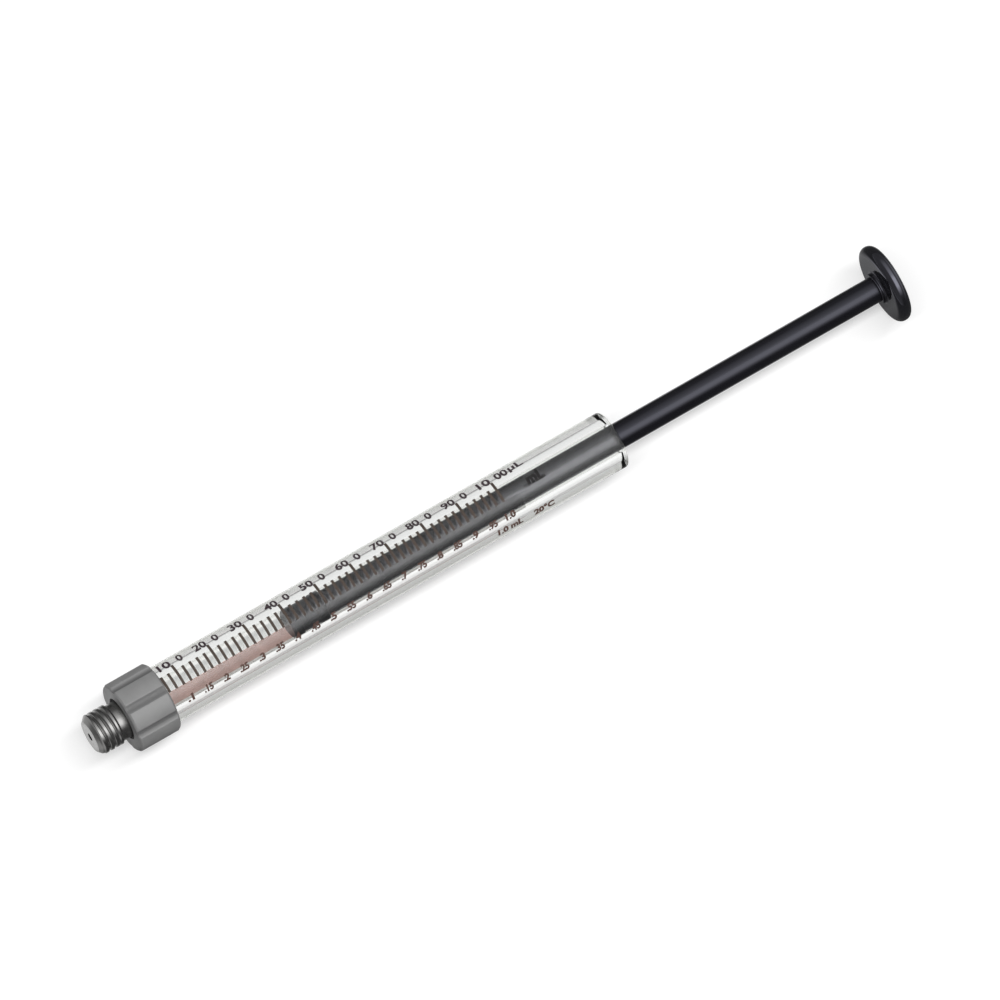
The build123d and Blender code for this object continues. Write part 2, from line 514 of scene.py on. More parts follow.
def flat_text(text, height, width, bold):
    """A word as a thin flat mesh about the origin, cut across so that it can be wrapped.

    The letters are made a mesh, then stretched so that their outline is height tall and width wide.
    bold is how far their outline is moved outwards, as a share of the letter size.
    """
    curve = bpy.data.curves.new("word", "FONT")
    curve.body = text
    curve.resolution_u = 3
    curve.extrude = 0.01
    curve.offset = bold
    holder = new_object("word", curve)
    bpy.context.view_layer.update()
    evaluated = holder.evaluated_get(bpy.context.evaluated_depsgraph_get())
    mesh = bpy.data.meshes.new_from_object(evaluated)
    bpy.data.objects.remove(holder)
    bpy.data.curves.remove(curve)
    points = points_of(mesh)
    low, high = points.min(0), points.max(0)
    points = (points - (low + high) / 2) / (high - low) * (width, height, 2 * INK_DEPTH)
    mesh.vertices.foreach_set("co", points.ravel())
    built = bmesh.new()
    built.from_mesh(mesh)
    bmesh.ops.remove_doubles(built, verts=built.verts, dist=1e-7)
    for level in np.linspace(-0.5, 0.5, TEXT_STRIPS + 1)[1:-1] * height:
        bmesh.ops.bisect_plane(
            built,
            geom=built.verts[:] + built.edges[:] + built.faces[:],
            plane_co=(0, level, 0),
            plane_no=(0, 1, 0),
        )
    bmesh.ops.recalc_face_normals(built, faces=built.faces)
    bmesh.ops.triangulate(built, faces=built.faces)
    built.to_mesh(mesh)
    built.free()
    points = points_of(mesh)
    faces = np.empty(len(mesh.polygons) * 3, int)
    mesh.polygons.foreach_get("vertices", faces)
    bpy.data.meshes.remove(mesh)
    return points, faces.reshape(-1, 3)


def wrapped_words(words, bold=0.03):
    """Points and faces of words wrapped on the glass.

    Each word is (text, station, angle, height, width). A letter's point (x, y, z) goes to the
    station plus x, the angle less y / glass radius, and the glass radius plus z, so a word reads
    towards the push button with its top away from -Y.
    """
    points, faces, total = [], [], 0
    for text, station, angle, height, width in words:
        flat, corners = flat_text(text, height, width, bold)
        x, y, z = flat.T
        points.append(round_axis(station + x, GLASS_R + z, angle - y / GLASS_R))
        faces.append(corners + total)
        total += len(flat)
    return np.concatenate(points), faces


# ---------------------------------------------------------------- shader groups


def give(tree, socket, value):
    """Links a socket to another node's output, or gives it a plain value, three for a colour."""
    if isinstance(value, bpy.types.NodeSocket):
        tree.links.new(value, socket)
    elif socket.type == "RGBA":
        socket.default_value = (*value, 1.0)
    else:
        socket.default_value = value


def set_sockets(tree, node, values):
    """Gives some of a node's sockets their links or plain values."""
    for key, value in dict(values).items():
        give(tree, node.inputs[key], value)


def put(tree, kind, sockets=(), **settings):
    """Adds a shader node with its settings and its sockets' links or plain values."""
    node = tree.nodes.new("ShaderNode" + kind)
    for key, value in settings.items():
        setattr(node, key, value)
    set_sockets(tree, node, sockets)
    return node


def maths(tree, operation, *values):
    """The output of a Math node, or of a chain of them for more than two values."""
    while len(values) > 2:
        values = (maths(tree, operation, *values[:2]), *values[2:])
    return put(tree, "Math", enumerate(values), operation=operation).outputs[0]


def one_less(tree, value):
    """One less a value."""
    return maths(tree, "SUBTRACT", 1.0, value)


def distance_from(tree, value, middle):
    """How far a value is from a middle one."""
    return maths(tree, "ABSOLUTE", maths(tree, "SUBTRACT", value, middle))


def blend_colour(tree, share, first, second, kind="MIX"):
    """The colour output of a Mix node. Colours are sockets or three numbers."""
    node = tree.nodes.new("ShaderNodeMix")
    node.data_type, node.blend_type = "RGBA", kind
    colours = [s for s in node.inputs if s.type == "RGBA"]
    factor = next(s for s in node.inputs if s.type == "VALUE" and s.enabled)
    for socket, value in ((factor, share), (colours[0], first), (colours[1], second)):
        give(tree, socket, value)
    return next(s for s in node.outputs if s.type == "RGBA")


def spread(tree, value, low, high, from_low=0.0, from_high=1.0):
    """The output of a clamped Map Range node."""
    sockets = {
        "Value": value,
        "From Min": from_low,
        "From Max": from_high,
        "To Min": low,
        "To Max": high,
    }
    return put(tree, "MapRange", sockets, clamp=True).outputs[0]


def new_group(name, inputs, outputs):
    """An empty shader node group with its named sockets, its input node and its output node."""
    group = bpy.data.node_groups.new(name, "ShaderNodeTree")
    for label, kind, default in inputs:
        socket = group.interface.new_socket(
            name=label, in_out="INPUT", socket_type="NodeSocket" + kind
        )
        if default is not None:
            socket.default_value = default
    for label in outputs:
        group.interface.new_socket(name=label, in_out="OUTPUT", socket_type="NodeSocketFloat")
    return group, group.nodes.new("NodeGroupInput").outputs, group.nodes.new("NodeGroupOutput")


def turning_marks_group():
    """Rings left by a lathe tool.

    The radius is the distance from the syringe's axis. Noise over (station, radius) is the same all
    the way round, so it makes rings on a side and circles on a face. A slower noise makes bands.
    """
    group, given, made = new_group(
        "Turning marks",
        [("Vector", "Vector", None), ("Pitch", "Float", 0.06 * MM)],
        ["Height", "Bands"],
    )
    parts = put(group, "SeparateXYZ", {0: given["Vector"]}).outputs
    up = maths(group, "SUBTRACT", parts["Z"], AXIS_HEIGHT)
    squares = [maths(group, "MULTIPLY", part, part) for part in (parts["Y"], up)]
    radius = maths(group, "SQRT", maths(group, "ADD", *squares))
    place = put(group, "CombineXYZ", {"X": parts["X"], "Y": radius}).outputs[0]
    per_pitch = maths(group, "DIVIDE", 1.0, given["Pitch"])
    scaled = put(group, "VectorMath", {0: place, "Scale": per_pitch}, operation="SCALE").outputs[0]
    fine = {"Vector": scaled, "Scale": 1.0, "Detail": 3.0, "Roughness": 0.6}
    broad = {"Vector": scaled, "Scale": 0.09, "Detail": 1.0}
    for label, sockets in (("Height", fine), ("Bands", broad)):
        give(group, made.inputs[label], put(group, "TexNoise", sockets).outputs[0])
    return group


def surface_grain_group():
    """Fine grain and slow patches: two sizes of noise in Object coordinates, the first for bump."""
    group, given, made = new_group(
        "Surface grain",
        [
            ("Vector", "Vector", None),
            ("Grain Size", "Float", 0.05 * MM),
            ("Patch Size", "Float", 4.0 * MM),
        ],
        ["Height", "Patches"],
    )
    for label, size, detail in (("Height", "Grain Size", 2.0), ("Patches", "Patch Size", 4.0)):
        sockets = {
            "Vector": given["Vector"],
            "Scale": maths(group, "DIVIDE", 1.0, given[size]),
            "Detail": detail,
            "Roughness": 0.55,
        }
        give(group, made.inputs[label], put(group, "TexNoise", sockets).outputs[0])
    return group


def edge_wear_group():
    """Rubbed edges: the piece's own wear value, broken up by noise so that only parts of an edge
    shine."""
    group, given, made = new_group(
        "Edge wear",
        [
            ("Vector", "Vector", None),
            ("Edge", "Float", 0.0),
            ("Break Size", "Float", 0.8 * MM),
            ("Amount", "Float", 0.5),
        ],
        ["Wear"],
    )
    sockets = {
        "Vector": given["Vector"],
        "Scale": maths(group, "DIVIDE", 1.0, given["Break Size"]),
        "Detail": 5.0,
        "Roughness": 0.65,
    }
    noise = put(group, "TexNoise", sockets).outputs[0]
    broken = spread(group, noise, 0.25, 1.0, 0.38, 0.62)
    wear = maths(group, "MULTIPLY", given["Edge"], broken, given["Amount"])
    give(group, made.inputs["Wear"], wear)
    return group


GROUPS = {
    "Turning marks": turning_marks_group,
    "Surface grain": surface_grain_group,
    "Edge wear": edge_wear_group,
}


def place_group(tree, name, sockets):
    """Places a shared group, which is built the first time, and returns its outputs."""
    node = tree.nodes.new("ShaderNodeGroup")
    node.node_tree = bpy.data.node_groups.get(name) or GROUPS[name]()
    set_sockets(tree, node, sockets)
    return node.outputs


# ---------------------------------------------------------------- finishes


def new_finish(name):
    """A material with one Principled shader, and its Object coordinates."""
    material = bpy.data.materials.new(name)
    material.use_nodes = True
    tree = material.node_tree
    tree.nodes.clear()
    shader = put(tree, "BsdfPrincipled")
    put(tree, "OutputMaterial", {"Surface": shader.outputs[0]})
    return material, tree, shader, put(tree, "TexCoord").outputs["Object"]


def grained(tree, place, grain_size, patch_size):
    """Surface grain with its two sizes."""
    sizes = {"Vector": place, "Grain Size": grain_size, "Patch Size": patch_size}
    return place_group(tree, "Surface grain", sizes)


def worn(tree, place, amount):
    """Edge wear where the piece's own wear values put it."""
    edge = put(tree, "Attribute", attribute_name="worn_edge").outputs["Fac"]
    sockets = {"Vector": place, "Edge": edge, "Amount": amount}
    return place_group(tree, "Edge wear", sockets)["Wear"]


def times(colour, factor):
    """A colour times a number, and never past white."""
    return tuple(min(1.0, part * factor) for part in colour)


def toned(tree, patches, colour, darker, lighter, low=0.3, high=0.7):
    """A colour that runs from darker to lighter over the patches."""
    share = spread(tree, patches, 0.0, 1.0, low, high)
    return blend_colour(tree, share, times(colour, darker), times(colour, lighter))


def bumped(tree, height, strength, distance):
    """The normal that a height gives."""
    sockets = {"Height": height, "Strength": strength, "Distance": distance}
    return put(tree, "Bump", sockets).outputs[0]


def steel_finish(name, colour):
    """Turned stainless steel: fine rings in the bump, bands in the roughness, and bright rubbed
    edges."""
    material, tree, shader, place = new_finish(name)
    marks = place_group(tree, "Turning marks", {"Vector": place, "Pitch": 0.07 * MM})
    grain = grained(tree, place, 0.05 * MM, 4.0 * MM)
    bands = spread(tree, marks["Bands"], 0.20, 0.34, 0.3, 0.7)
    patches = spread(tree, grain["Patches"], -0.03, 0.04, 0.3, 0.7)
    sockets = {
        "Base Color": blend_colour(tree, worn(tree, place, 0.7), colour, times(colour, 1.25)),
        "Metallic": 1.0,
        "Roughness": maths(tree, "ADD", bands, patches),
        "Normal": bumped(tree, marks["Height"], 0.12, 0.004 * MM),
    }
    set_sockets(tree, shader, sockets)
    return material


def satin_finish(name, colour):
    """Bead-blasted grey metal: fine pits, slow patches of shine, painted shade in the grip grooves
    and lighter rubbed edges."""
    material, tree, shader, place = new_finish(name)
    grain = grained(tree, place, 0.09 * MM, 2.2 * MM)
    tone = toned(tree, grain["Patches"], colour, 0.93, 1.07)
    painted_groove_shade = put(tree, "Attribute", attribute_name="painted_groove_shade").outputs["Fac"]
    # Painted shade: the base colour darkens towards the bottom of each grip groove.
    tone = blend_colour(tree, spread(tree, painted_groove_shade, 0.0, 1.0), tone, times(colour, 0.58))
    sockets = {
        "Base Color": blend_colour(tree, worn(tree, place, 0.3), tone, times(colour, 1.6)),
        "Metallic": 0.4,
        "Roughness": spread(tree, grain["Patches"], 0.50, 0.60, 0.3, 0.7),
        "Normal": bumped(tree, grain["Height"], 0.35, 0.012 * MM),
    }
    set_sockets(tree, shader, sockets)
    return material


def polymer_finish(name, colour, rough, grain_bump, marks_bump, shine, shine_tint=COOL):
    """Moulded or ground polymer: a fine grain, patches of shine, handling wear on the edges, and
    grinding rings where marks_bump is set."""
    material, tree, shader, place = new_finish(name)
    grain = grained(tree, place, 0.12 * MM, 6.0 * MM)
    marks = place_group(tree, "Turning marks", {"Vector": place, "Pitch": 0.11 * MM})
    wear = worn(tree, place, 0.5)
    tone = toned(tree, grain["Patches"], colour, 0.85, 1.15)
    height = maths(
        tree,
        "ADD",
        maths(tree, "MULTIPLY", grain["Height"], grain_bump),
        maths(tree, "MULTIPLY", marks["Height"], marks_bump),
    )
    patches = spread(tree, grain["Patches"], rough * 0.85, rough * 1.2, 0.3, 0.7)
    sockets = {
        "Base Color": blend_colour(tree, wear, tone, times(colour, 2.2)),
        "Roughness": maths(tree, "ADD", patches, maths(tree, "MULTIPLY", wear, 0.15)),
        "Specular IOR Level": shine,
        "Specular Tint": shine_tint,
        "Normal": bumped(tree, height, 0.3, 0.01 * MM),
    }
    set_sockets(tree, shader, sockets)
    return material


def glass_finish(name, colour, edge_colour, refraction):
    """Drawn glass: clear face on and greyer edge on, a painted shade, with a faint film from
    handling in its roughness."""
    material, tree, shader, place = new_finish(name)
    grain = grained(tree, place, 0.9 * MM, 9.0 * MM)
    facing = put(tree, "LayerWeight", {"Blend": 0.5}).outputs["Facing"]
    # Painted shade: the glass greys where it is seen edge on.
    edge_on = spread(tree, facing, 0.0, 1.0, 0.30, 0.62)
    sockets = {
        "Base Color": blend_colour(tree, edge_on, colour, edge_colour),
        "Metallic": 0.0,
        "Transmission Weight": 1.0,
        "IOR": refraction,
        "Roughness": spread(tree, grain["Patches"], 0.0, 0.012, 0.45, 0.75),
        "Normal": bumped(tree, grain["Patches"], 0.05, 0.01 * MM),
    }
    set_sockets(tree, shader, sockets)
    return material


def ink_finish(name, colour):
    """Fired enamel ink: a speckled density and a slightly uneven surface."""
    material, tree, shader, place = new_finish(name)
    grain = grained(tree, place, 0.06 * MM, 0.5 * MM)
    sockets = {
        "Base Color": toned(tree, grain["Patches"], colour, 0.9, 1.12, 0.35, 0.65),
        "Roughness": spread(tree, grain["Height"], 0.425, 0.575),
        "Specular IOR Level": 0.3,
        "Normal": bumped(tree, grain["Height"], 0.2, 0.004 * MM),
    }
    set_sockets(tree, shader, sockets)
    return material


def film_finish(name, colour):
    """A tinted layer inside the glass: it colours what is seen through it, and bends and reflects
    next to nothing."""
    material, tree, shader, place = new_finish(name)
    grain = grained(tree, place, 0.2 * MM, 1.5 * MM)
    sockets = {
        "Base Color": toned(tree, grain["Patches"], colour, 0.95, 1.05, 0.35, 0.65),
        "Metallic": 0.0,
        "Transmission Weight": 1.0,
        "IOR": 1.01,
        "Roughness": spread(tree, grain["Height"], 0.0, 0.02),
        "Normal": bumped(tree, grain["Height"], 0.05, 0.002 * MM),
    }
    set_sockets(tree, shader, sockets)
    return material


# ---------------------------------------------------------------- operators


class MICROSYRINGE_OT_stage(bpy.types.Operator):
    """Make the floor, the studio light and the camera"""

    bl_idname = "microsyringe.stage"
    bl_label = "Stage"

    # Places on the floor. A pair is where a ramp starts and ends. Light off the rod that leaves
    # through clear glass lands farther than rod_light from the line under the axis.
    rod_light = 19.0 * MM, 23.0 * MM
    # A painted shadow on the floor, as light that turned round in the glass wall sees it:
    # shade_middle and shade_edge place its edge, and far_side darkens the +Y side.
    shade_middle, shade_edge = -6.5 * MM, (1.5 * MM, 3.5 * MM)
    far_side = -1.0 * MM, 1.0 * MM
    # A painted pool of light on the floor that reflections see, weaker under the push button.
    pool_middle, pool_edge = 3.0 * MM, (4.0 * MM, 10.0 * MM)
    port_pool = CAD_BOX[0].x - 6.0 * MM, CAD_BOX[0].x
    button_dim = 52.0 * MM, 62.0 * MM
    # The floor's painted dark, as reflections see it outside the painted pool of light.
    unlit_floor = 0.08

    # Degrees from overhead towards -Y, and how bright the studio is there.
    studio_curve = (
        (-180, 0.45),
        (-90, 0.16),
        (-62, 0.20),
        (-42, 0.65),
        (-24, 0.95),
        (-6, 1.45),
        (6, 2.6),
        (30, 2.6),
        (38, 1.70),
        (47, 0.90),
        (60, 0.18),
        (72, 0.09),
        (90, 0.07),
        (180, 0.45),
    )
    # The X of a unit direction where the boxes and the walls are, and then brightnesses.
    boxes_middle, boxes_end = 0.22, (0.20, 0.48)
    wall_edge = 0.72, 0.95
    beyond_boxes, port_wall, button_wall = 0.20, 0.16, 0.75
    fill_level, seen_in_wall, lit_through_glass = 0.42, 0.6, 0.65

    lamp_size, lamp_distance, lamp_lean = (1.6, 0.18), 0.9, math.radians(-1.0)
    lamp_radiance = 9.0

    # The station in the middle of the picture, and how far the middle is then moved right and up.
    aim_station, aim_right, aim_up = 67.41 * MM, 1.5645 * MM, 1.3636 * MM

    def execute(self, context):
        stage = context.scene.microsyringe_stage
        self.make_floor(stage)
        self.make_world(context.scene)
        self.make_lamp()
        self.make_camera(context.scene, stage)
        context.scene.view_settings.view_transform = "Standard"
        return {"FINISHED"}

    def floor_light(self, tree, place):
        """How much of its glow the floor shows to a ray, and how dark it is to a reflection.

        Seen straight or through clear glass, the floor shows its whole glow, and light that only
        turned round in the glass wall sees part of it: a painted shadow near the shadow's edge and
        on the +Y side. A reflection, also one on the rod behind the glass, sees the glow only in a
        painted pool of light under the syringe and past its port, and a painted dark elsewhere.
        """
        path = put(tree, "LightPath").outputs
        parts = put(tree, "SeparateXYZ", {0: place}).outputs
        along, aside = parts["X"], parts["Y"]
        clear = path["Is Transmission Ray"]
        turned = spread(tree, path["Glossy Depth"], 0.0, 1.0)
        crossed = spread(tree, path["Transmission Depth"], 0.0, 1.0, 2.0, 3.0)
        # Light that crossed the shading band on its way round the wall lands nearer than rod light.
        far_out = spread(tree, maths(tree, "ABSOLUTE", aside), 0.0, 1.0, *self.rod_light)
        on_rod = maths(tree, "MULTIPLY", clear, turned, crossed, far_out)
        # Painted shadow: light that turned round in the glass wall sees less glow near the shadow's
        # edge and on the +Y side.
        from_shade = distance_from(tree, aside, self.shade_middle)
        in_shade = spread(tree, from_shade, 0.34, 0.08, *self.shade_edge)
        shaded_far_side = spread(tree, aside, 0.0, 0.44, *self.far_side)
        painted_shadow = maths(tree, "MULTIPLY", turned, maths(tree, "MAXIMUM", in_shade, shaded_far_side))
        off_rod = maths(tree, "SUBTRACT", clear, on_rod)
        through = maths(tree, "MULTIPLY", off_rod, one_less(tree, painted_shadow))
        # Painted pool of light that reflections see: past the port and under the syringe.
        past_port = spread(tree, along, 0.6, 0.0, *self.port_pool)
        # The painted pool of light is weaker under the push button.
        under_syringe = maths(
            tree,
            "MULTIPLY",
            spread(tree, distance_from(tree, aside, self.pool_middle), 1.0, 0.0, *self.pool_edge),
            spread(tree, along, 1.0, 0.3, *self.button_dim),
        )
        painted_pool = maths(tree, "MAXIMUM", past_port, under_syringe)
        outside = maths(tree, "SUBTRACT", path["Is Glossy Ray"], clear)
        glossy = maths(tree, "MAXIMUM", outside, on_rod)
        painted_pool_glow = maths(tree, "MULTIPLY", glossy, painted_pool)
        seen = maths(tree, "MAXIMUM", path["Is Camera Ray"], through, painted_pool_glow)
        return seen, maths(tree, "MULTIPLY", glossy, one_less(tree, painted_pool))

    def make_floor(self, stage):
        """A flat square: part pale paint, which takes shadows, and part its own glow, which
        reflections see only in a painted pool of light with a painted dark round it.
        """
        corners = np.array([[-1, -1, 0], [1, -1, 0], [1, 1, 0], [-1, 1, 0]])
        points = corners * stage.floor_size / 2
        mesh = new_mesh("studio_floor", points, [np.array([[0, 1, 2, 3]])], smooth=False)
        material, tree, shader, place = new_finish("pale floor")
        grain = grained(tree, place, 0.4 * MM, 60 * MM)
        seen, unlit = self.floor_light(tree, place)
        paint = toned(tree, grain["Patches"], (stage.floor_paint,) * 3, 1.0, 1.01)
        sockets = {
            # Painted dark to reflections outside the painted pool of light.
            "Base Color": blend_colour(tree, unlit, paint, (self.unlit_floor,) * 3),
            "Roughness": spread(tree, grain["Height"], 0.9, 1.0),
            "Specular IOR Level": 0.0,
            "Emission Color": blend_colour(tree, seen, (0.0, 0.0, 0.0), WHITE),
            "Emission Strength": stage.floor_glow,
        }
        set_sockets(tree, shader, sockets)
        mesh.materials.append(material)
        new_object("studio_floor", mesh)

    def make_world(self, scene):
        """White behind the syringe and behind clear glass. Elsewhere a studio: bright overhead,
        most of all a little towards -Y, and falling to dark on both sides."""
        world = bpy.data.worlds.new("studio")
        scene.world = world
        world.use_nodes = True
        tree = world.node_tree
        tree.nodes.clear()
        path = put(tree, "LightPath").outputs
        way = put(tree, "TexCoord").outputs["Generated"]
        parts = put(tree, "SeparateXYZ", {0: way}).outputs
        across = maths(tree, "ARCTAN2", maths(tree, "MULTIPLY", parts["Y"], -1.0), parts["Z"])
        ramp = put(tree, "ValToRGB", {0: spread(tree, across, 0.0, 1.0, -math.pi, math.pi)})
        elements = ramp.color_ramp.elements
        for _ in self.studio_curve[2:]:
            elements.new(0.5)
        for element, (degrees, level) in zip(elements, self.studio_curve):
            element.position = degrees / 360 + 0.5
            element.color = (level, level, level, 1.0)
        # Beyond the ends of the soft boxes the studio is dim, and a wall stands far off at each end
        # of the syringe: a dark one past the port and a pale one past the push button.
        off_boxes = distance_from(tree, parts["X"], self.boxes_middle)
        dim = spread(tree, off_boxes, 0.0, 1.0, *self.boxes_end)
        boxes = blend_colour(tree, dim, ramp.outputs["Color"], (self.beyond_boxes,) * 3)
        to_button = spread(tree, parts["X"], 0.0, 1.0, -0.5, 0.5)
        walls = blend_colour(tree, to_button, (self.port_wall,) * 3, (self.button_wall,) * 3)
        wall = spread(tree, maths(tree, "ABSOLUTE", parts["X"]), 0.0, 1.0, *self.wall_edge)
        studio = blend_colour(tree, wall, boxes, walls)
        soft = blend_colour(tree, path["Is Diffuse Ray"], studio, (self.fill_level,) * 3)
        # Light that turns round inside the glass wall alone shows at the barrel's rear edge.
        clear = path["Is Transmission Ray"]
        in_wall = spread(tree, path["Transmission Depth"], 1.0, 0.0, 2.0, 3.0)
        in_wall = maths(tree, "MULTIPLY", clear, in_wall)
        soft = blend_colour(tree, in_wall, soft, (self.seen_in_wall,) * 3, "LIGHTEN")
        scattered = spread(tree, path["Diffuse Depth"], 0.0, 1.0)
        lit_through = maths(tree, "MULTIPLY", clear, scattered)
        inside = blend_colour(tree, lit_through, soft, (self.lit_through_glass,) * 3)
        bounced = maths(tree, "ADD", path["Glossy Depth"], path["Diffuse Depth"])
        straight = maths(tree, "MULTIPLY", clear, spread(tree, bounced, 1.0, 0.0))
        white = maths(tree, "MAXIMUM", path["Is Camera Ray"], straight)
        colour = blend_colour(tree, white, inside, WHITE)
        background = put(tree, "Background", {"Color": colour, "Strength": 1.0})
        put(tree, "OutputWorld", {"Surface": background.outputs[0]})

    def make_lamp(self):
        """A long narrow soft box overhead, which gives the light that casts shadows. The world
        draws the highlights, so reflections and glass don't show the lamp itself."""
        light = bpy.data.lights.new("soft_box", "AREA")
        light.shape = "RECTANGLE"
        light.size, light.size_y = self.lamp_size
        # An area lamp's radiance is its power over pi times its area.
        light.energy = self.lamp_radiance * math.pi * light.size * light.size_y
        lamp = new_object("soft_box", light)
        aside = -math.sin(self.lamp_lean) * self.lamp_distance
        up = math.cos(self.lamp_lean) * self.lamp_distance
        lamp.location = (0.0, aside, AXIS_HEIGHT + up)
        lamp.rotation_euler = (-self.lamp_lean, 0.0, 0.0)
        lamp.visible_camera = lamp.visible_glossy = lamp.visible_transmission = False

    def make_camera(self, scene, stage):
        """A long lens above the barrel. back is the direction from the syringe to the camera, along
        the syringe's own direction in the picture, and across its square; the roll turns them."""
        lean, side = stage.tilt_along, stage.tilt_across
        sideways, upwards = -math.cos(lean) * math.sin(side), math.cos(lean) * math.cos(side)
        back = Vector((-math.sin(lean), sideways, upwards))
        along = (Vector((1, 0, 0)) - back * back.x).normalized()
        across = back.cross(along)
        right = math.cos(stage.roll) * along - math.sin(stage.roll) * across
        up = math.sin(stage.roll) * along + math.cos(stage.roll) * across
        target = Vector((PORT_X + self.aim_station, 0, AXIS_HEIGHT))
        target = target + right * self.aim_right + up * self.aim_up
        data = bpy.data.cameras.new("studio_camera")
        data.type = "PERSP"
        data.sensor_width = 36.0
        data.lens = stage.lens
        distance = stage.frame_width * data.lens / data.sensor_width
        data.clip_start, data.clip_end = distance * 0.5, distance * 1.5
        camera = new_object("studio_camera", data)
        turn = Matrix((right, up, back)).transposed().to_4x4()
        camera.matrix_world = Matrix.Translation(target + back * distance) @ turn
        scene.camera = camera


class MICROSYRINGE_OT_barrel(bpy.types.Operator):
    """Make the glass barrel"""

    bl_idname = "microsyringe.barrel"
    bl_label = "Glass Barrel"

    def execute(self, context):
        s = context.scene.microsyringe_barrel
        edge = 0.05 * MM
        section, wear = rounded_section(
            [
                (GLASS_FRONT, s.bore_radius),
                (GLASS_FRONT, s.ground_radius),
                (GROUND_BACK, s.ground_radius),
                (GROUND_BACK, GLASS_R),
                (GLASS_BACK, GLASS_R),
                (GLASS_BACK, s.bore_radius),
            ],
            [edge, edge, edge, edge, s.end_round, s.mouth_round],
            closed=True,
            steps=12,
        )
        mesh = new_mesh("glass_tube", *turned_surface(section, wear, 192, closed=True))
        colours = tuple(s.glass_colour), tuple(s.edge_colour)
        glass = glass_finish("barrel glass", *colours, s.refraction)
        new_piece("glass_tube", mesh, glass, "barrel", ["glass_barrel"])
        return {"FINISHED"}


class MICROSYRINGE_OT_fitting(bpy.types.Operator):
    """Make the stainless port fitting and finish the ferrule"""

    bl_idname = "microsyringe.fitting"
    bl_label = "Port Fitting"

    def execute(self, context):
        s = context.scene.microsyringe_front
        edge, fillet = 0.05 * MM, 0.3 * MM
        section, wear = rounded_section(
            [
                (0.0, s.passage_radius),
                (0.0, s.thread_radius - s.port_chamfer),
                (s.port_chamfer, s.thread_radius),
                (s.thread_length, s.thread_radius),
                (s.thread_length, s.neck_radius),
                (FLANGE_FRONT, s.neck_radius),
                (FLANGE_FRONT, FLANGE_R),
                (SEAL_FRONT, FLANGE_R),
                (SEAL_FRONT, s.passage_radius),
            ],
            [edge, edge, edge, 2 * edge, fillet, fillet, edge, edge, edge],
            closed=True,
            spacing=0.055 * MM,
        )
        station = section[:, 0:1]

        def threaded(radius, angle):
            """The radius less a groove that winds round.

            The phase is station / pitch less the share of a turn. The groove is deepest where the
            phase is a half, and away is how far it is from there, from 0 to 1. Its sides are smooth
            steps. It comes in over 0.6 mm along the chamfer and goes out over 0.5 mm by the neck.
            """
            phase = (station / s.thread_pitch - angle / (2 * math.pi)) % 1.0
            away = np.abs(2 * phase - 1)
            groove = np.clip((0.55 - away) / 0.5, 0.0, 1.0)
            groove = groove * groove * (3 - 2 * groove)
            come_in = np.clip((station - 0.55 * s.port_chamfer) / (0.6 * MM), 0, 1)
            go_out = np.clip((s.thread_length - 0.28 * MM - station) / (0.5 * MM), 0, 1)
            outside = radius > s.neck_radius + 0.02 * MM
            at_port = station < s.thread_length
            return radius - s.thread_depth * groove * (come_in * go_out) * (outside & at_port)

        shape = turned_surface(section, wear, 144, closed=True, radius_of_angle=threaded)
        mesh = new_mesh("threaded_port", *shape)
        steel = steel_finish("turned stainless", tuple(s.steel_colour))
        new_piece("threaded_port", mesh, steel, "barrel", ["port_fitting"])
        finish_node("barrel_ferrule", steel)
        return {"FINISHED"}


